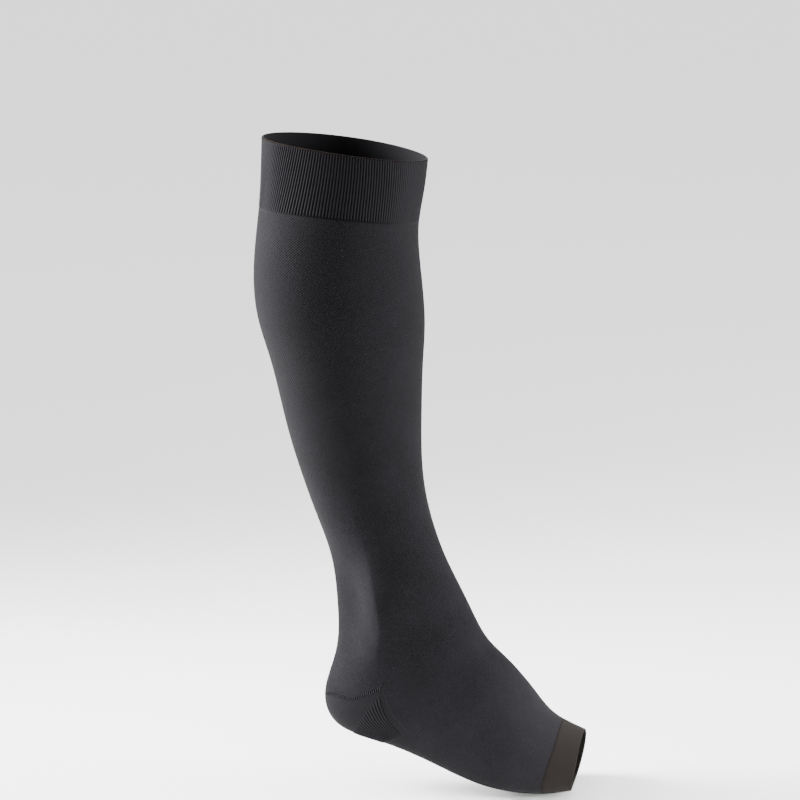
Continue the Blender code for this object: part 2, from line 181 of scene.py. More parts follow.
def surface(station, angle):
    """Points of the outer face, in millimetres, for flat lists of places."""
    rows = spline(KNOTS, TABLE, station)
    column = {name: rows[:, i] for i, name in enumerate(SECTION_COLUMNS)}
    cos = np.cos(np.radians(angle))
    sin = np.sin(np.radians(angle))
    flat = (column["flat_front"] + column["flat_back"]) / 2.0
    flat = flat + cos * (column["flat_front"] - column["flat_back"]) / 2.0
    depth = cos * (1.0 + flat * (1.0 - cos ** 2))
    swell = swelling(station, angle)

    half = (rows[:, 0:2] - rows[:, 2:4]) / 2.0
    length = np.linalg.norm(half, axis=1)
    forward = half / length[:, None]
    down = np.stack([-forward[:, 1], forward[:, 0]], axis=1)
    plane = (rows[:, 0:2] + rows[:, 2:4]) / 2.0
    plane = plane + forward * (length * depth + cos * swell)[:, None]
    plane = plane + down * (column["bow"] * sin ** 2)[:, None]
    across = column["centre"] - column["half_width"] * sin * (1.0 - column["taper"] * cos)
    across = across + column["ridge"] * ((1.0 + cos) / 2.0) ** 2 - sin * swell
    return np.column_stack([across, plane])


def outward(station, angle):
    """Unit normals of the outer face."""
    along = surface(station + NEARBY, angle) - surface(station - NEARBY, angle)
    turn = surface(station, angle + NEARBY) - surface(station, angle - NEARBY)
    normal = np.cross(turn, along)
    return normal / np.linalg.norm(normal, axis=1)[:, None]


def skin(station, angle, rise):
    """Outer face moved out by a rise in millimetres; keeps the shape of a grid."""
    station, angle, rise = np.broadcast_arrays(station, angle, rise)
    places = (station.ravel().astype(float), angle.ravel().astype(float))
    points = surface(*places) + outward(*places) * rise.ravel()[:, None]
    return points.reshape(station.shape + (3,))


turn = np.linspace(0.0, 360.0, 361)
for name in ("mouth", "calf_full", "ankle", "ball"):
    ring = surface(np.full(turn.size, KNOTS[list(SECTIONS).index(name)]), turn)
    print(name, "girth, mm:", round(float(np.linalg.norm(np.diff(ring, axis=0), axis=1).sum())))

# %% [markdown]
# ## From a grid of places to a thin wall
#
# Cloth has a thickness that shows at its open edges, so every stretch is a closed shell with an
# outer face, an inner face and rims.  Solidify could thicken a single sheet, but the inside of
# a ribbed band is plain, so both faces are worked out here.
#
# The wall also carries *cloth coordinates* as its UV map: degrees round the leg and millimetres
# down it.  A knit pattern drawn in them follows the leg, closes round it and gets finer where
# the tube narrows, as real stitches do.


# %% Helper: a closed knitted shell
PLAIN_TONE = 0.55            # yarn tone of plain knit, between a groove (0) and a crest (1)


def knit_shell(name, station, angle, outer_rise, inner_rise, used=None, tone_and_groove_shade=None):
    """Thin closed wall over a grid of places, with cloth coordinates.

    On a whole tube the last column repeats the first one, a full turn later.
    """
    rows, columns = station.shape
    count = rows * columns
    place = np.arange(count).reshape(rows, columns)
    corner = place.copy()
    if np.isclose(angle[0, -1] - angle[0, 0], 360.0):
        corner[:, -1] = corner[:, 0]
    corner = corner.ravel()

    quads = np.stack([place[:-1, :-1], place[:-1, 1:], place[1:, 1:], place[1:, :-1]], axis=-1)
    quads = quads[used] if used is not None else quads.reshape(-1, 4)
    sides = np.stack([quads, np.roll(quads, -1, axis=1)], axis=-1).reshape(-1, 2)
    ends = corner[sides]
    free = ~np.isin(ends[:, 0] * count + ends[:, 1], ends[:, 1] * count + ends[:, 0])
    rim = sides[free]
    rims = np.column_stack([rim[:, 1], rim[:, 0], rim[:, 0] + count, rim[:, 1] + count])
    faces = np.vstack([quads, quads[:, ::-1] + count, rims])

    points = np.vstack([skin(station, angle, outer_rise).reshape(-1, 3),
                        skin(station, angle, inner_rise).reshape(-1, 3)])
    number = np.concatenate([corner, corner + count])[faces]
    kept, number = np.unique(number, return_inverse=True)
    mesh = bpy.data.meshes.new(name)
    mesh.from_pydata((points[kept] * MM).tolist(), [], number.reshape(-1, 4).tolist())
    mesh.shade_smooth()

    cloth = np.column_stack([angle.ravel(), station.ravel()])
    layer = mesh.uv_layers.new(name="cloth")
    layer.data.foreach_set("uv", cloth[faces.ravel() % count].ravel())

    # The rims' edges stay crisp, so that light doesn't bleed round a cut edge.
    pairs = np.empty(len(mesh.edges) * 2, dtype=np.int64)
    mesh.edges.foreach_get("vertices", pairs)
    pairs = np.sort(pairs.reshape(-1, 2), axis=1)
    cut = number.reshape(-1, 4)[-len(rims):]
    cut = np.sort(np.vstack([cut[:, 0:2], cut[:, 2:4]]), axis=1)
    sharp = np.isin(pairs @ [2 * count, 1], cut @ [2 * count, 1])
    mesh.edges.foreach_set("use_edge_sharp", sharp)
    if tone_and_groove_shade is not None:
        layer = mesh.attributes.new("tone_and_groove_shade", "FLOAT", "POINT")
        doubled = np.concatenate([tone_and_groove_shade.ravel(), np.full(count, PLAIN_TONE)])
        layer.data.foreach_set("value", doubled[kept].astype(np.float32))

    piece = bpy.data.objects.new(name, mesh)
    bpy.context.scene.collection.objects.link(piece)
    print(name, "triangles:", 2 * len(mesh.polygons))
    return piece


# %% [markdown]
# Leg and foot meet the heel along lines that every stretch has to share.  The heel's top line
# starts at a tip on each side, dips a little on its way back, and climbs again behind.  On a
# knitting machine this *gore line* forms where rows are parked and picked up again.

# %% Where the heel is set in
BAND_END = 45.5
HEEL_TIP = 361.0             # station of the pocket's side tips
HEEL_FOOT = 394.5            # station where the pocket ends under the arch
TOE_START = 482.5
TIP_ANGLE = 101.0            # angle of the pocket's side tip
FOOT_ANGLE = 119.0           # angle of its front corner, under the arch
FRONT_STEPS = 96
BACK_STEPS = 80
TOE_BOW = {"height": 1.8, "middle": 95.0, "spread": 35.0}

GORE_LINE = np.array((       # angle, station
    (101.0, 361.0), (114.0, 359.4), (128.0, 357.9), (137.0, 354.4),
    (149.5, 350.9), (160.5, 349.4), (180.0, 348.5),
))


def from_front(angle):
    """Degrees from the front of the leg, the same on both sides."""
    return 180.0 - np.abs(angle % 360.0 - 180.0)


def hump(angle, height, middle, spread):
    """Smooth hump on each side of the leg, placed by its degrees from the front."""
    return height * np.exp(-((from_front(angle) - middle) / spread) ** 2)


def gore_line(angle):
    """Station of the heel's top line."""
    return np.interp(from_front(angle), GORE_LINE[:, 0], GORE_LINE[:, 1])


def toe_line(angle):
    """Station where the foot meets the toe band: it bows towards the heel on both sides."""
    return TOE_START - hump(angle, **TOE_BOW)


def tube_grid(stations, sides, bends):
    """Places of rows round the leg: first the front columns, then the back ones.

    Side is the angle where front and back meet; bend draws the back to the gore line.
    """
    share = np.linspace(-1.0, 1.0, FRONT_STEPS + 1)
    back = np.linspace(-1.0, 1.0, BACK_STEPS + 1)[1:]
    angle = np.array([np.concatenate([share * s, 180.0 + back * (180.0 - s)]) for s in sides])
    climb = gore_line(angle) - HEEL_TIP
    climb[:, :FRONT_STEPS + 1] = 0.0
    return np.array(stations)[:, None] + np.array(bends)[:, None] * climb, angle


print("gore line, mm below the mouth:", gore_line(np.array([101.0, 128.0, 180.0])))


# %% [markdown]
# ## Yarn
#
# The cloth is a flat-looking charcoal compression knit: covered elastic laid into fine polyamide
# stitches.  Polyamide has an IOR of about 1.53.  Seen straight on it is close to black; seen
# along the surface the tiny fibres catch light from the side and turn it grey.  Most of that
# comes from the lights here, and the Principled shader's sheen adds the last trace.


# %% Helpers: colour and nodes
def hex_colour(text):
    """sRGB hex to linear RGBA."""
    values = [int(text[i:i + 2], 16) / 255.0 for i in (1, 3, 5)]
    linear = [v / 12.92 if v <= 0.04045 else ((v + 0.055) / 1.055) ** 2.4 for v in values]
    return (*linear, 1.0)


def add(tree, kind, settings=None, links=None):
    """Adds one node: settings are attributes or input values, links are input sockets."""
    node = tree.nodes.new(kind)
    for key, value in (settings or {}).items():
        if isinstance(key, str) and hasattr(node, key):
            setattr(node, key, value)
        else:
            node.inputs[key].default_value = value
    for key, socket in (links or {}).items():
        tree.links.new(socket, node.inputs[key])
    return node


# A Mix node has a set of sockets for each kind of data; these numbers are its colour ones.
COLOUR_A, COLOUR_B, MIXED = 6, 7, 2
POLYAMIDE_IOR = 1.53
MATT_SPECULAR = 0.02         # crossing fibres scatter the highlight away
KNIT_ROUGHNESS = 0.85
SHEEN = 0.015                # fine fibres on matt yarn: only a trace
SHEEN_ROUGHNESS = 0.5


def yarn_shader(name, roughness=KNIT_ROUGHNESS, sheen=SHEEN, sheen_roughness=SHEEN_ROUGHNESS,
                sheen_tint="#FFFFFF"):
    """New material with a Principled shader set up for dyed polyamide yarn."""
    material = bpy.data.materials.new(name)
    material.use_nodes = True
    tree = material.node_tree
    shader = tree.nodes["Principled BSDF"]
    shader.inputs["Metallic"].default_value = 0.0
    shader.inputs["Roughness"].default_value = roughness
    shader.inputs["IOR"].default_value = POLYAMIDE_IOR
    shader.inputs["Specular IOR Level"].default_value = MATT_SPECULAR
    shader.inputs["Sheen Weight"].default_value = sheen
    shader.inputs["Sheen Roughness"].default_value = sheen_roughness
    shader.inputs["Sheen Tint"].default_value = hex_colour(sheen_tint)
    return material, tree, shader


# %% [markdown]
# ### Compression knit
#
# The inlaid elastic makes every other stitch stand up, one place further on in each row.  That
# gives two sets of fine diagonal lines that cross.  They are clearest on the full calf and close
# up below, until only a speckle of single loops is left.  An image of a real knit would repeat
# and show its seams; sine waves over the cloth coordinates close exactly round the leg.  The
# real stitches are about 0.8 mm apart and can't be told apart at arm's length, so the lines are
# drawn about 1.2 mm apart and the speckle about 1 mm.

# %% Material: charcoal compression knit
GRAIN = (                    # lines round the leg, lines per mm down it, strength
    (165.0, -0.60, 0.9),
    (200.0, 0.66, 1.0),
)
FADE_FROM = 130.0            # stations between which the pattern closes up
FADE_TO = 250.0
SPECKLE = 1.0 * MM
PATCH = 22.0 * MM            # soft uneven dye and stretch
PATCH_SHARE = 0.25
SHADE_DARK = -0.1            # pattern values that get the darkest and the lightest yarn
SHADE_LIGHT = 0.35
KNIT_RELIEF = 0.25 * MM
YARN_DARK = "#0C0C0D"
YARN_LIGHT = "#1B1A1D"


def diagonal_lines(tree, cloth, round_leg, per_mm, strength):
    """Socket with a sine wave over the cloth coordinates, from -strength to strength."""
    turn = add(tree, "ShaderNodeMath", {"operation": "MULTIPLY", 1: math.tau * round_leg / 360.0},
               {0: cloth.outputs["X"]})
    phase = add(tree, "ShaderNodeMath", {"operation": "MULTIPLY_ADD", 1: math.tau * per_mm},
                {0: cloth.outputs["Y"], 2: turn.outputs[0]})
    wave = add(tree, "ShaderNodeMath", {"operation": "SINE"}, {0: phase.outputs[0]})
    return add(tree, "ShaderNodeMath", {"operation": "MULTIPLY", 1: strength},
               {0: wave.outputs[0]}).outputs[0]


def compression_knit(name, grain, contrast):
    """Charcoal knit; grain and contrast each have a value above and one below the fade."""
    material, tree, shader = yarn_shader(name)
    coordinates = add(tree, "ShaderNodeTexCoord")
    cloth = add(tree, "ShaderNodeSeparateXYZ", {}, {0: coordinates.outputs["UV"]})
    waves = [diagonal_lines(tree, cloth, *row) for row in GRAIN]
    both = add(tree, "ShaderNodeMath", {"operation": "ADD"}, {0: waves[0], 1: waves[1]})
    grain, contrast = (
        add(tree, "ShaderNodeMapRange",
            {"From Min": FADE_FROM, "From Max": FADE_TO, "To Min": above, "To Max": below},
            {"Value": cloth.outputs["Y"]})
        for above, below in (grain, contrast)
    )
    speckle = add(tree, "ShaderNodeTexNoise", {"Scale": 1.0 / SPECKLE, "Detail": 1.5},
                  {"Vector": coordinates.outputs["Object"]})
    speckle = add(tree, "ShaderNodeMath", {"operation": "SUBTRACT", 1: 0.5},
                  {0: speckle.outputs["Fac"]})
    patch = add(tree, "ShaderNodeTexNoise", {"Scale": 1.0 / PATCH, "Detail": 2.0},
                {"Vector": coordinates.outputs["Object"]})

    pattern = add(tree, "ShaderNodeMath", {"operation": "MULTIPLY_ADD"},
                  {0: both.outputs[0], 1: grain.outputs["Result"], 2: speckle.outputs[0]})
    height = add(tree, "ShaderNodeMath", {"operation": "MULTIPLY"},
                 {0: pattern.outputs[0], 1: contrast.outputs["Result"]})
    shade = add(tree, "ShaderNodeMath", {"operation": "MULTIPLY_ADD", 1: PATCH_SHARE},
                {0: patch.outputs["Fac"], 2: height.outputs[0]})
    ramp = add(tree, "ShaderNodeMapRange", {"From Min": SHADE_DARK, "From Max": SHADE_LIGHT},
               {"Value": shade.outputs[0]})
    yarns = {COLOUR_A: hex_colour(YARN_DARK), COLOUR_B: hex_colour(YARN_LIGHT)}
    colour = add(tree, "ShaderNodeMix", {"data_type": "RGBA"} | yarns,
                 {0: ramp.outputs["Result"]})
    tree.links.new(colour.outputs[MIXED], shader.inputs["Base Color"])
    bump = add(tree, "ShaderNodeBump", {"Strength": 1.0, "Distance": KNIT_RELIEF},
               {"Height": height.outputs[0]})
    tree.links.new(bump.outputs["Normal"], shader.inputs["Normal"])
    return material


LEG_KNIT = compression_knit("charcoal_compression_knit", grain=(0.3, 0.1), contrast=(1.0, 0.75))
FOOT_KNIT = compression_knit("charcoal_foot_knit", grain=(0.1, 0.03), contrast=(0.6, 0.55))
print("materials:", LEG_KNIT.name, FOOT_KNIT.name)

# %% [markdown]
# ### Ribbed knit
#
# A rib is a chain of stitches that stands proud of its neighbours.  The chain itself catches
# light and the groove beside it stays dark because it is shaded.  The geometry gives the shadow;
# the material adds painted shade in the groove on top of it.

# %% Material: ribbed knit
BAND_RIBS = 188
HEEL_RIBS = 45
COURSE = 1.1                 # millimetres from stitch to stitch up a rib; the real 0.6 is too fine
STITCH_SHARE = 0.25          # of the stitches in the relief, beside the speckle
UNEVENNESS = 0.5             # of the yarn tone
RIB_RELIEF = 0.12 * MM


def ribbed_knit(name, dark, light, hatch, sheen):
    """Knit whose yarn colour and painted groove shade are stored with its points: 0 in a groove
    and 1 on a crest.

    Hatch is the strength of fine diagonal lines over the whole knit.
    """
    material, tree, shader = yarn_shader(name, sheen=sheen)
    coordinates = add(tree, "ShaderNodeTexCoord")
    rib = add(tree, "ShaderNodeAttribute", {"attribute_name": "tone_and_groove_shade"})
    cloth = add(tree, "ShaderNodeSeparateXYZ", {}, {0: coordinates.outputs["UV"]})
    round_leg, per_mm, _ = GRAIN[0]
    course = diagonal_lines(tree, cloth, 0.0, 1.0 / COURSE, 1.0)
    across = diagonal_lines(tree, cloth, round_leg, per_mm, hatch)
    stitch = add(tree, "ShaderNodeMath", {"operation": "MULTIPLY_ADD"},
                 {0: course, 1: rib.outputs["Fac"], 2: across})
    speckle = add(tree, "ShaderNodeTexNoise", {"Scale": 1.0 / SPECKLE, "Detail": 1.5},
                  {"Vector": coordinates.outputs["Object"]})
    height = add(tree, "ShaderNodeMath", {"operation": "MULTIPLY_ADD", 1: STITCH_SHARE},
                 {0: stitch.outputs[0], 2: speckle.outputs["Fac"]})
    uneven = add(tree, "ShaderNodeMath",
                 {"operation": "MULTIPLY_ADD", 1: UNEVENNESS, 2: -UNEVENNESS / 2.0},
                 {0: height.outputs[0]})
    shade = add(tree, "ShaderNodeMath", {"operation": "ADD", "use_clamp": True},
                {0: rib.outputs["Fac"], 1: uneven.outputs[0]})
    colour = add(tree, "ShaderNodeMix",
                 {"data_type": "RGBA", COLOUR_A: hex_colour(dark), COLOUR_B: hex_colour(light)},
                 {0: shade.outputs[0]})
    tree.links.new(colour.outputs[MIXED], shader.inputs["Base Color"])
    bump = add(tree, "ShaderNodeBump", {"Strength": 0.4, "Distance": RIB_RELIEF},
               {"Height": height.outputs[0]})
    tree.links.new(bump.outputs["Normal"], shader.inputs["Normal"])
    return material


# Both paint the rib grooves darker than the crests, as painted shade.
BAND_KNIT = ribbed_knit("charcoal_welt_rib", "#030303", "#1B1A1D", hatch=0.0, sheen=0.03)
HEEL_KNIT = ribbed_knit("charcoal_heel_knit", "#050505", "#1D1C1F", hatch=0.9, sheen=SHEEN)
print("materials:", BAND_KNIT.name, HEEL_KNIT.name)

# %% [markdown]
# ### Toe edge
#
# The open toe is finished with a dense, smooth edge in a slightly warmer, browner black.  It
# has no grain that shows, and it is duller than the knit.  The fold at the mouth gets the same
# material, painted near black with a brown cast: painted shade and a painted reflection.

# %% Materials: smooth toe edge and painted welt fold
EDGE_RELIEF = 0.08 * MM


def smooth_edge_knit(name, colour):
    """Dense plain edge with only a faint unevenness."""
    material, tree, shader = yarn_shader(name, roughness=0.92, sheen_roughness=0.6,
                                         sheen_tint="#FFF4EA")
    coordinates = add(tree, "ShaderNodeTexCoord")
    speckle = add(tree, "ShaderNodeTexNoise", {"Scale": 1.0 / SPECKLE, "Detail": 1.0},
                  {"Vector": coordinates.outputs["Object"]})
    bump = add(tree, "ShaderNodeBump", {"Strength": 0.15, "Distance": EDGE_RELIEF},
               {"Height": speckle.outputs["Fac"]})
    shader.inputs["Base Color"].default_value = hex_colour(colour)
    tree.links.new(bump.outputs["Normal"], shader.inputs["Normal"])
    return material


TOE_KNIT = smooth_edge_knit("warm_black_toe_edge", "#151312")
# The welt's fold is painted near black with a brown cast: painted shade and a painted reflection.
WELT_FOLD_PAINTED_SHADE = smooth_edge_knit("welt_fold_painted_shade_and_reflection", "#0A0503")
print("materials:", TOE_KNIT.name, WELT_FOLD_PAINTED_SHADE.name)

# %% [markdown]
# ### Gore yarn
#
# The stitches that join the heel to the leg are the same yarn, pulled long and round.  Each one
# is painted a little lighter than the flat knit, a painted highlight.  Behind them the dark of
# the eyelets is painted shade on a strip.

# %% Materials: gore yarn with a painted highlight, and the eyelets' painted shade
TWIST = 0.5 * MM
TWIST_RELIEF = 0.05 * MM


def twisted_yarn(name, colour, roughness, sheen):
    """One thick yarn with its fine twist."""
    material, tree, shader = yarn_shader(name, roughness, sheen, sheen_roughness=0.45)
    coordinates = add(tree, "ShaderNodeTexCoord")
    twist = add(tree, "ShaderNodeTexNoise", {"Scale": 1.0 / TWIST, "Detail": 1.0},
                {"Vector": coordinates.outputs["Object"]})
    bump = add(tree, "ShaderNodeBump", {"Strength": 0.3, "Distance": TWIST_RELIEF},
               {"Height": twist.outputs["Fac"]})
    shader.inputs["Base Color"].default_value = hex_colour(colour)
    tree.links.new(bump.outputs["Normal"], shader.inputs["Normal"])
    return material


# The gore yarn is painted lighter than the knit: a painted highlight on the raised loops.
GORE_YARN_HIGHLIGHT = twisted_yarn("charcoal_gore_yarn_painted_highlight", "#2B2B2D", roughness=0.8, sheen=SHEEN)
# The eyelets are a near-black strip of painted shade, not yarn.
GORE_SLIT_PAINTED_SHADE = twisted_yarn("gore_slit_painted_shade", "#020202", roughness=0.95, sheen=0.0)
print("materials:", GORE_YARN_HIGHLIGHT.name, GORE_SLIT_PAINTED_SHADE.name)

# %% [markdown]
# ## Knee band
#
# A doubled welt with 188 fine ribs.  It grips the leg, so it must stretch most; the ribs let it.
# The ribs run up to the folded edge and stop just above the leg, where one tight row draws the
# cloth in; a dot of painted shade lies between every two ribs there.  An array of tube-shaped
# ribs would be quicker, but here the crests are part of one wall, so they melt into it at both
# ends as knitted ribs do.


# %% Helpers: rib profile, easing and rolled rims
CREST_WIDTH = 0.9            # power of the rib wave; below 1 its crests are broader than grooves
RIB_LEAN = (
    {"height": 0.26, "middle": 135.0, "spread": 38.0},
    {"height": -0.06, "middle": 45.0, "spread": 30.0},
)
UPRIGHT_BELOW = 0.6          # sine of the angle under which the ribs stand up to the middle line


def rib_wave(turns):
    """0 in the groove, 1 on the crest."""
    return (0.5 - 0.5 * np.cos(math.tau * turns)) ** CREST_WIDTH


def eased(low, high, value):
    """0 below low, 1 above high, smooth between them."""
    share = np.clip((value - low) / (high - low), 0.0, 1.0)
    return share ** 2 * (3.0 - 2.0 * share)


def rolled(distance, radius):
    """1 on a rim and 0 a radius away from it, along a quarter circle."""
    share = np.clip(distance / radius, 0.0, 1.0)
    return 1.0 - np.sqrt(1.0 - (1.0 - share) ** 2)


def rib_lean(angle):
    """Degrees that a band rib leans for each millimetre down, alike on both sides of the leg."""
    lean = sum(hump(angle, **part) for part in RIB_LEAN)
    return lean * np.clip(np.sin(np.radians(angle)) / UPRIGHT_BELOW, -1.0, 1.0)


# %% Knee band
RIB_COLUMNS = 8              # points across one rib
RIB_HEIGHT = 0.65            # from groove to crest; the crests stand 0.15 above the leg
RIB_SINK = 0.5
RIB_TOP = (0.2, 1.2)         # stations between which the ribs rise from the fold
RIB_END = (43.2, 45.0)       # and between which they run out
FOLD_OUTSIDE = 0.75
FOLD_INSIDE = 0.45
TIGHT_ROW = 44.4
TIGHT_REACH = 0.8
TIGHT_DEPTH = 0.2
# The tight row is painted dark as shade, on the crests and most of all in the grooves.
TIGHT_CREST = 0.4            # share of the crests' tone that is left in the tight row
OPEN_HEIGHT = 0.45           # share of the ribs' height that is left where they are pulled open
OPEN_SINES = (0.5, 0.9)      # sines of the angle between which they close again
# Where the ribs open, the painted groove shade fades towards this even tone.
OPEN_TONE = 0.75             # even yarn tone where they are open
BAND_WALL = 1.5

rows = np.concatenate([[0.0, 0.12, 0.35, 0.7, 1.2], np.linspace(2.5, 42.5, 15),
                       [43.2, 43.8, 44.2, 44.6, 45.0, BAND_END]])[:, None]
columns = np.linspace(-180.0, 180.0, BAND_RIBS * RIB_COLUMNS + 1)[None, :]
angle = columns + rows * rib_lean(columns)
station = np.broadcast_to(rows, angle.shape)
crest = rib_wave(columns * BAND_RIBS / 360.0)
ribbed = eased(*RIB_TOP, rows) * (1.0 - eased(*RIB_END, rows))
folded = rolled(rows, FOLD_OUTSIDE)
drawn_in = np.exp(-((rows - TIGHT_ROW) / TIGHT_REACH) ** 2)

# Where the leg stretches the band most, in front and behind, the ribs open and flatten.
sideways = np.abs(np.sin(np.radians(angle)))
closed = OPEN_HEIGHT + (1.0 - OPEN_HEIGHT) * eased(*OPEN_SINES, sideways)
outer_rise = (RIB_HEIGHT * crest - RIB_SINK) * closed * ribbed
outer_rise = outer_rise - FOLD_OUTSIDE * folded - TIGHT_DEPTH * drawn_in * closed
inner_rise = FOLD_INSIDE * folded - BAND_WALL
# The grooves are painted dark as shade and the crests light; plain knit keeps its even tone.
tone_and_groove_shade = crest * ribbed + PLAIN_TONE * (1.0 - ribbed)
# Painted shade darkens the tight row, most of all between the ribs.
tone_and_groove_shade = tone_and_groove_shade * (1.0 - drawn_in * (1.0 - TIGHT_CREST * crest))
tone_and_groove_shade = OPEN_TONE + (tone_and_groove_shade - OPEN_TONE) * closed
knee_band = knit_shell("knee_band_knit", station, angle, outer_rise, inner_rise, tone_and_groove_shade=tone_and_groove_shade)
knee_band.data.materials.append(BAND_KNIT)
knee_band.data.materials.append(WELT_FOLD_PAINTED_SHADE)

# The fold is the first few rows of the outer face, and its material is the second one: painted
# shade with a painted brown reflection.
FOLD_ROWS = 3
fold = np.zeros(len(knee_band.data.polygons), dtype=np.int32)
fold[:FOLD_ROWS * (columns.size - 1)] = 1
knee_band.data.polygons.foreach_set("material_index", fold)

# %% [markdown]
# ## Leg
#
# A plain tube that tapers by stitch tension, not by a seam.  Its rows are level at the band and
# bend towards the heel, so that the last row lies on the gore line.  Just there the real knit
# opens a little between the picked-up stitches, so the edge stays 0.8 mm short.

# %% Leg
WALL = 1.2
LEG_ROWS = 151
BEND_FROM = 249.0            # station where the rows start to bend
EYELET = 0.8                 # half the open slit on the gore line
SLIT_OPENS = (101.5, 104.0)  # degrees from the front between which the slit opens
SLIT_SHUTS = (160.0, 172.0)  # and between which it shuts behind the heel


def slit(angle):
    """Half width of the gore line's slit: closed at the side tips and behind the heel."""
    away = from_front(angle)
    return EYELET * eased(*SLIT_OPENS, away) * (1.0 - eased(*SLIT_SHUTS, away))


rows = np.linspace(BAND_END, HEEL_TIP, LEG_ROWS)
bends = np.clip((rows - BEND_FROM) / (HEEL_TIP - BEND_FROM), 0.0, 1.0) ** 2
station, angle = tube_grid(rows, np.full(len(rows), TIP_ANGLE), bends)
station[-1] -= slit(angle[-1])
leg = knit_shell("leg_knit", station, angle, 0.0, -WALL)
leg.data.materials.append(LEG_KNIT)

# %% [markdown]
# ## Foot
#
# The same tube goes on over the instep, beside the heel, and then all round the foot to the toe
# band.  The heel's place is left out of its grid.

# %% Foot
SIDE_LINE = np.array((       # station, angle of the heel's front edge
    (361.0, 101.0), (366.4, 102.6), (372.4, 106.0), (381.0, 111.5), (387.5, 115.5), (394.5, 119.0),
))
BESIDE = 24                  # rows beside the heel
BEYOND = 44                  # rows from there to the toe band
BOW_FROM = 455.0             # station where the rows start to bow towards the toe band's line

rows = np.concatenate([np.linspace(HEEL_TIP, HEEL_FOOT, BESIDE + 1),
                       np.linspace(HEEL_FOOT, TOE_START, BEYOND + 1)[1:]])
sides = np.interp(rows, SIDE_LINE[:, 0], SIDE_LINE[:, 1])
station, angle = tube_grid(rows, sides, np.zeros(len(rows)))
bends = np.clip((rows - BOW_FROM) / (TOE_START - BOW_FROM), 0.0, 1.0) ** 2
station = station + bends[:, None] * (toe_line(angle) - TOE_START)
used = np.ones((len(rows) - 1, FRONT_STEPS + BACK_STEPS), dtype=bool)
used[:BESIDE, FRONT_STEPS:] = False
foot = knit_shell("foot_knit", station, angle, 0.0, -WALL, used=used)
foot.data.materials.append(FOOT_KNIT)

# %% [markdown]
# ## Heel pocket
#
# The heel is knitted to and fro on part of the stitches, which makes a cup.  Under the foot it
# ends in a block of short ribs that lets the arch stretch.  The ribs start along a curve below
# the gore line, draw together towards the arch, and stop just before the foot's plain knit.


# %% Helper: even spacing over the pocket
def even_across(shares):
    """Shares of the pocket's width, respaced evenly by the cloth's length along its middle."""
    trial = np.linspace(-1.0, 1.0, 121)
    points = surface(np.full(trial.size, (HEEL_TIP + HEEL_FOOT) / 2.0),
                     180.0 + trial * (180.0 - (TIP_ANGLE + FOOT_ANGLE) / 2.0))
    length = np.cumsum(np.linalg.norm(np.diff(points, axis=0), axis=1))
    length = np.concatenate([[0.0], length / length[-1]])
    return np.interp(shares, 2.0 * length - 1.0, trial)


# %% Heel pocket
HEEL_ROWS = 64
HEEL_RIB_HEIGHT = 0.45
HEEL_RIB_REACH = (-0.06, -0.02, 0.95)    # polynomial by depth: share of the width with ribs
PLAIN_COLUMNS = 16           # on each side of the ribs
RIB_RISE = (-0.8, 1.6)       # millimetres round the start and the stop over which a rib runs out
RIB_FALL = (-1.0, 0.4)
RIB_START = np.array((       # angle, station
    (101.0, 364.5), (109.0, 365.4), (117.0, 366.9), (128.0, 370.4), (143.0, 373.4), (180.0, 377.0),
))
RIB_STOP = np.array((
    (119.0, 394.0), (130.5, 392.6), (139.5, 391.5), (155.5, 390.5), (180.0, 390.5),
))

down = np.linspace(0.0, 1.0, HEEL_ROWS)[:, None]
reach = np.polyval(HEEL_RIB_REACH, down)
ribs = np.linspace(-1.0, 1.0, HEEL_RIBS * RIB_COLUMNS + 1)[None, :]
plain = reach + np.linspace(0.0, 1.0, PLAIN_COLUMNS + 1)[None, 1:] * (1.0 - reach)
across = np.hstack([-plain[:, ::-1], even_across(ribs) * reach, plain])
side = np.interp(HEEL_TIP + (HEEL_FOOT - HEEL_TIP) * down, SIDE_LINE[:, 0], SIDE_LINE[:, 1])
angle = 180.0 + across * (180.0 - side)
top_angle = 180.0 + across * (180.0 - TIP_ANGLE)
top = gore_line(top_angle) + slit(top_angle)
station = top + (HEEL_FOOT - top) * down

crest = np.zeros_like(across)
crest[:, PLAIN_COLUMNS:-PLAIN_COLUMNS] = rib_wave((ribs + 1.0) / 2.0 * HEEL_RIBS)
away = from_front(angle)
past_start = station - np.interp(away, RIB_START[:, 0], RIB_START[:, 1])
past_stop = station - np.interp(away, RIB_STOP[:, 0], RIB_STOP[:, 1])
ribbed = eased(*RIB_RISE, past_start) * (1.0 - eased(*RIB_FALL, past_stop))
ribbed[:, :PLAIN_COLUMNS] = 0.0
ribbed[:, -PLAIN_COLUMNS:] = 0.0
# The grooves between the heel's ribs are painted dark as shade.
tone_and_groove_shade = crest * ribbed + PLAIN_TONE * (1.0 - ribbed)
heel = knit_shell("heel_pocket_knit", station, angle, HEEL_RIB_HEIGHT * crest * ribbed, -WALL,
                  tone_and_groove_shade=tone_and_groove_shade)
heel.data.materials.append(HEEL_KNIT)

# %% [markdown]
# ## Toe band
#
# A flat smooth edge about 18 mm wide round the open toe.  It is slacker at the sides, so its
# inner line bows a little there.  Its free rim is folded and round.

# %% Toe band
TOE_COLUMNS = 240
TOE_WALL = 1.3
TOE_RISE = 0.1
TOE_FOLD_OUTSIDE = 0.65
TOE_FOLD_INSIDE = 0.4
TOE_JOIN = 0.6               # width of the groove where the band meets the foot
TOE_JOIN_DEPTH = 0.35

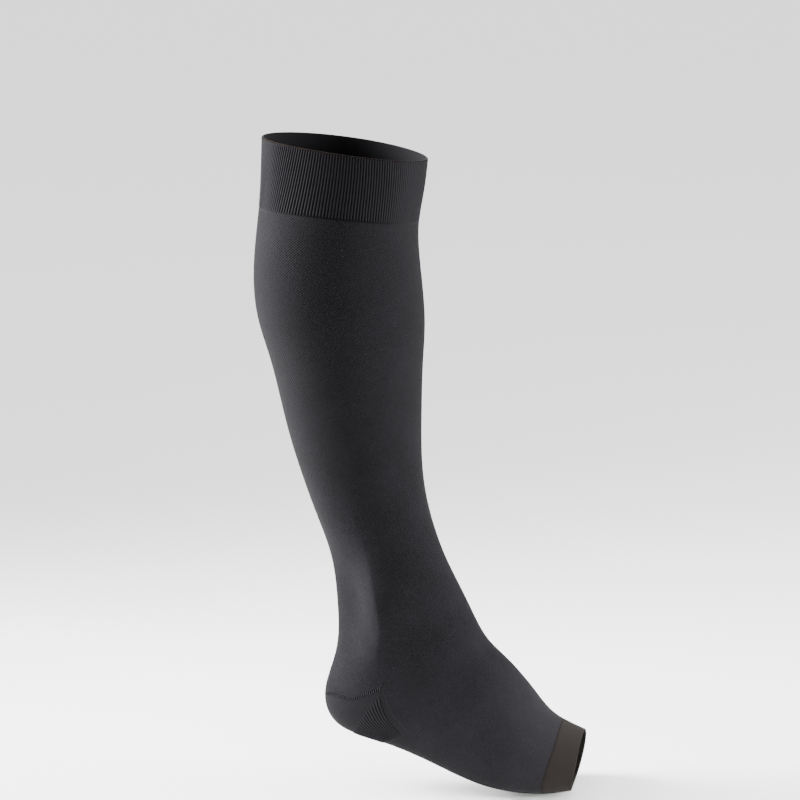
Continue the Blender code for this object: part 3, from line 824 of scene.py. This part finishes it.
rows = np.concatenate([TOE_START + np.array([0.0, 0.15, TOE_JOIN]),
                       np.linspace(TOE_START + 2.0, LEG_END - 1.6, 9),
                       LEG_END - np.array([1.0, 0.65, 0.35, 0.12, 0.0])])[:, None]
columns = np.linspace(-180.0, 180.0, TOE_COLUMNS + 1)
angle = np.broadcast_to(columns, (rows.size, columns.size))
share = (rows - TOE_START) / (LEG_END - TOE_START)
station = toe_line(angle) + (LEG_END - toe_line(angle)) * share
folded = rolled(LEG_END - rows, TOE_FOLD_OUTSIDE)
joined = 1.0 - eased(TOE_START, TOE_START + TOE_JOIN, rows)
outer_rise = TOE_RISE - TOE_FOLD_OUTSIDE * folded - TOE_JOIN_DEPTH * joined
inner_rise = TOE_RISE - TOE_WALL + TOE_FOLD_INSIDE * folded
toe_band = knit_shell("toe_band_knit", station, angle, outer_rise, inner_rise)
toe_band.data.materials.append(TOE_KNIT)

# %% [markdown]
# ## Gore stitches
#
# Along the gore line the picked-up stitches are pulled long.  They lie across the line like the
# rungs of a ladder, 1.6 mm apart, with an eyelet between every two; the eyelets are one dark
# strip of painted shade under the stitches.  Fainter rows of single stitches mark where the heel's
# short rows turn and where its ribbed block joins the foot.  Each stitch is a small bent tube,
# because at this size its roundness is what makes it read as yarn.


# %% Helper: evenly spaced places along a line on the cloth
STEPS_BETWEEN = 60           # trial points for each place of a line


def walk(places, pitch):
    """Points, directions and normals, one pitch apart, along a line of (station, angle)."""
    places = np.array(places)
    share = np.linspace(0.0, len(places) - 1.0, STEPS_BETWEEN * len(places))
    station = np.interp(share, np.arange(len(places)), places[:, 0])
    angle = np.interp(share, np.arange(len(places)), places[:, 1])
    points = surface(station, angle)
    length = np.linalg.norm(np.diff(points, axis=0), axis=1)
    length = np.concatenate([[0.0], np.cumsum(length)])
    at = np.arange(pitch / 2.0, length[-1], pitch)
    spot, before, after = (
        np.column_stack([np.interp(at + shift, length, column) for column in points.T])
        for shift in (0.0, -NEARBY, NEARBY)
    )
    along = (after - before) / np.linalg.norm(after - before, axis=1)[:, None]
    return spot, along, outward(np.interp(at, length, station), np.interp(at, length, angle))


# %% Helper: stitches as small bent tubes
TUBE_SIDES = 8
TUBE_RINGS = 7
END_SINK = 0.1               # how far a stitch dives into the cloth at its ends
END_SQUARED = 0.02           # square of the share of its thickness that is left there


def rungs(spot, along, normal, reach, thick, rise, lean):
    """Points and faces of one bent tube across the line at each place."""
    way = np.cross(normal, along) + lean * along
    way = way / np.linalg.norm(way, axis=1)[:, None]
    beside = np.cross(normal, way)
    points = []
    for s in np.linspace(-1.0, 1.0, TUBE_RINGS):
        middle = spot + way * (reach * s) + normal * (rise * (1.0 - s ** 2) - END_SINK * s ** 2)
        radius = thick * math.sqrt(max(1.0 - s ** 2, END_SQUARED))
        for turn in np.arange(TUBE_SIDES) * math.tau / TUBE_SIDES:
            points.append(middle + (beside * math.cos(turn) + normal * math.sin(turn)) * radius)
    points = np.stack(points, axis=1)

    ring = np.arange(TUBE_SIDES)
    after = np.roll(ring, -1)
    faces = []
    for k in range(TUBE_RINGS - 1):
        low, high = k * TUBE_SIDES, (k + 1) * TUBE_SIDES
        faces += np.column_stack([ring + low, after + low, after + high, ring + high]).tolist()
    faces += [ring[::-1].tolist(), (ring + (TUBE_RINGS - 1) * TUBE_SIDES).tolist()]
    count = points.shape[1]
    many = [[n + i * count for n in face] for i in range(len(spot)) for face in faces]
    return points.reshape(-1, 3), many


# %% Gore stitches
PITCH = 1.6
GORE_ROWS = (                # name, places, reach across, thickness, rise, lean
    ("gore line", [(gore_line(a), a) for a in np.linspace(102.5, 168.0, 60)],
     1.2, 0.32, 0.15, 0.3),
    ("lower branch", [(358.6, 130.0), (359.3, 135.0), (360.2, 141.0), (361.2, 147.0)],
     0.35, 0.17, 0.02, 0.25),
    ("upper branch", [(357.4, 109.5), (352.4, 115.5), (346.4, 122.5)], 0.35, 0.2, 0.0, 0.25),
    ("tip", [(360.6, 101.5), (358.5, 101.2), (356.4, 102.0)], 0.35, 0.22, 0.02, 0.0),
    ("front edge", SIDE_LINE.tolist(), 0.35, 0.2, -0.05, 0.0),
)

points, faces = [], []
count = 0
for row_name, places, row_reach, thick, rise, lean in GORE_ROWS:
    for mirror in (1.0, -1.0):
        line = [(s, 180.0 - mirror * (180.0 - a)) for s, a in places]
        some, many = rungs(*walk(line, PITCH), row_reach, thick, rise, mirror * lean)
        faces += [[n + count for n in face] for face in many]
        points.append(some)
        count += len(some)
    print(row_name, "stitches, one side:", len(some) // (TUBE_SIDES * TUBE_RINGS))
yarn_faces = len(faces)

# The slit's painted shade: a dark strip that reaches a little under both edges.
STRIP_STEPS = 90
STRIP_REACH = 1.1
STRIP_DEPTH = 0.4
for low, high in ((102.0, 171.0), (189.0, 258.0)):
    angle = np.linspace(low, high, STRIP_STEPS)[None, :]
    station = gore_line(angle) + np.array([[-STRIP_REACH], [STRIP_REACH]])
    above, below = np.arange(2 * STRIP_STEPS).reshape(2, STRIP_STEPS) + count
    faces += np.column_stack([above[:-1], above[1:], below[1:], below[:-1]]).tolist()
    points.append(skin(station, angle, -STRIP_DEPTH).reshape(-1, 3))
    count += 2 * STRIP_STEPS

mesh = bpy.data.meshes.new("gore_stitches")
mesh.from_pydata((np.vstack(points) * MM).tolist(), [], faces)
mesh.shade_smooth()
mesh.materials.append(GORE_YARN_HIGHLIGHT)
mesh.materials.append(GORE_SLIT_PAINTED_SHADE)
mesh.polygons.foreach_set("material_index", [int(i >= yarn_faces) for i in range(len(faces))])
gore_stitches = bpy.data.objects.new("gore_stitches", mesh)
bpy.context.scene.collection.objects.link(gore_stitches)
print("gore stitches, faces:", len(faces))

# %% [markdown]
# ## Each piece in place of the imported wall
#
# A knitted tube is stretched when it is worn: about 1.35 times as wide and 1.08 times as long as
# it lies on a table.  The ribbed band and the toe band are slacker, 1.2 times.


def knitted(piece, node):
    """Attaches a piece to the root and hides the imported wall that it replaces.
    """
    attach(piece, "root")
    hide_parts(node)


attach(gore_stitches, "root")
knitted(knee_band, "knee_band")
knitted(leg, "leg")
knitted(heel, "heel_pocket")
knitted(foot, "foot")
knitted(toe_band, "toe_band")

# %% [markdown]
# ## Studio
#
# A near-white floor without an edge, a large soft box on the heel side and one on the toe side,
# and a room that is bright above and dim all round.  Dark cloth shows its form by what it catches
# at its edges, so the boxes stand square to the view and leave the middle dark.  A small box with
# a grid in front, which keeps its light together, lifts the forefoot.

# %% Floor
FLOOR_HALF = 40.0            # metres, so that its edge is far out of every view
FLOOR_GAP = 0.4 * MM
PAPER_GRAIN = MM / 0.9       # coarser than real paper, whose fibres would not show
PAPER_RELIEF = 0.1 * MM

corners = [(x * FLOOR_HALF, y * FLOOR_HALF, 0.0) for x, y in ((-1, -1), (1, -1), (1, 1), (-1, 1))]
floor_mesh = bpy.data.meshes.new("studio_floor")
floor_mesh.from_pydata(corners, [], [(0, 1, 2, 3)])
floor = bpy.data.objects.new("studio_floor", floor_mesh)
floor.location.z = float(cad_box[0][2]) - FLOOR_GAP
bpy.context.scene.collection.objects.link(floor)

paper = bpy.data.materials.new("matt_white_paper")
paper.use_nodes = True
tree = paper.node_tree
coordinates = add(tree, "ShaderNodeTexCoord")
fibre = add(tree, "ShaderNodeTexNoise", {"Scale": 1.0 / PAPER_GRAIN, "Detail": 2.0},
            {"Vector": coordinates.outputs["Object"]})
bump = add(tree, "ShaderNodeBump", {"Strength": 0.05, "Distance": PAPER_RELIEF},
           {"Height": fibre.outputs["Fac"]})
shader = tree.nodes["Principled BSDF"]
shader.inputs["Base Color"].default_value = hex_colour("#F4F4F4")
shader.inputs["Roughness"].default_value = 0.9
tree.links.new(bump.outputs["Normal"], shader.inputs["Normal"])
floor_mesh.materials.append(paper)
floor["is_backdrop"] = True
print("floor height, m:", round(floor.location.z, 4))


# %% Light
def soft_box(name, target, azimuth, elevation, distance, size, power, spread):
    """Square light that faces a target; azimuth as for the camera, spread in degrees."""
    a, e = math.radians(azimuth), math.radians(elevation)
    away = Vector((math.sin(a) * math.cos(e), -math.cos(a) * math.cos(e), math.sin(e)))
    light = bpy.data.lights.new(name, "AREA")
    light.shape = "SQUARE"
    light.size = size
    light.energy = power
    light.spread = math.radians(spread)
    lamp = bpy.data.objects.new(name, light)
    lamp.location = Vector(target) + away * distance
    lamp.rotation_euler = away.to_track_quat("Z", "Y").to_euler()
    lamp.visible_camera = False
    bpy.context.scene.collection.objects.link(lamp)
    print(name, "power, W:", power)


LAMPS = {                    # target, azimuth, elevation, distance, size, power, spread
    "soft_box_heel_side":   ((0.0, -0.03, -0.12), 177.0, 20.0, 1.3, 0.85, 41.0, 75.0),
    "soft_box_toe_side":    ((0.0, -0.03, -0.22), 4.0, 6.0, 2.4, 1.4, 220.0, 180.0),
    "gridded_box_forefoot": ((-0.03, -0.2, -0.42), -35.0, 8.0, 1.0, 0.15, 0.31, 12.0),
}
for name, row in LAMPS.items():
    soft_box(name, *row)

# %% Room
# It is bright above and dim all round, as under a large ceiling panel.
BRIGHT_WAY = (0.25, 0.05, 0.97)
PANEL_EDGE = 0.3             # how far from the bright way its glow begins; 1 is straight along it
ROOM_DIM = 0.22
ROOM_BRIGHT = 3.4
WALL_SEEN = 1.5              # what the camera sees of it, as pale as the floor in front

world = bpy.data.worlds.new("white_studio")
bpy.context.scene.world = world
world.use_nodes = True
tree = world.node_tree
coordinates = add(tree, "ShaderNodeTexCoord")
toward = add(tree, "ShaderNodeVectorMath", {"operation": "DOT_PRODUCT", 1: BRIGHT_WAY},
             {0: coordinates.outputs["Generated"]})
glow = add(tree, "ShaderNodeMapRange",
           {"interpolation_type": "SMOOTHSTEP", "From Min": PANEL_EDGE, "From Max": 1.0,
            "To Min": ROOM_DIM, "To Max": ROOM_BRIGHT},
           {"Value": toward.outputs["Value"]})
path = add(tree, "ShaderNodeLightPath")
wall = add(tree, "ShaderNodeMath", {"operation": "MULTIPLY", 1: WALL_SEEN},
           {0: path.outputs["Is Camera Ray"]})
strength = add(tree, "ShaderNodeMath", {"operation": "MAXIMUM"},
               {0: glow.outputs["Result"], 1: wall.outputs[0]})
tree.links.new(strength.outputs[0], tree.nodes["Background"].inputs["Strength"])
tree.nodes["Background"].inputs["Color"].default_value = hex_colour("#FFFFFF")
print("room, dim to bright:", ROOM_DIM, ROOM_BRIGHT)

# %% [markdown]
# ## Camera
#
# A little above the middle of the leg, almost square to the little-toe side, from 2.6 m away with
# a long lens, so that the foot and the band keep their true proportions.

# %% Camera
AZIMUTH = math.radians(-82.0)
ELEVATION = math.radians(9.5)
DISTANCE = 2.6
AIM_RIGHT = 0.03667          # the middle of the view, seen from the mouth's centre
AIM_DOWN = 0.16867
FOCAL_LENGTH = 175.5
SENSOR = 36.0

right = Vector((math.cos(AZIMUTH), math.sin(AZIMUTH), 0.0))
back = Vector((math.sin(AZIMUTH) * math.cos(ELEVATION), -math.cos(AZIMUTH) * math.cos(ELEVATION),
               math.sin(ELEVATION)))
up = back.cross(right)
place = right * AIM_RIGHT - up * AIM_DOWN + back * DISTANCE
lens = bpy.data.cameras.new("camera")
lens.lens = FOCAL_LENGTH
lens.sensor_width = SENSOR
camera = bpy.data.objects.new("camera", lens)
camera.matrix_world = Matrix.Translation(place) @ Matrix((right, up, back)).transposed().to_4x4()
bpy.context.scene.collection.objects.link(camera)
bpy.context.scene.camera = camera
print("camera at, m:", [round(v, 3) for v in place])

# %% Sizes of the imported model and of the new pieces
boxes = {"cad": cad_box, "visual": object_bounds()}
boxes = {name: [[float(v) for v in corner] for corner in box] for name, box in boxes.items()}
print(boxes)
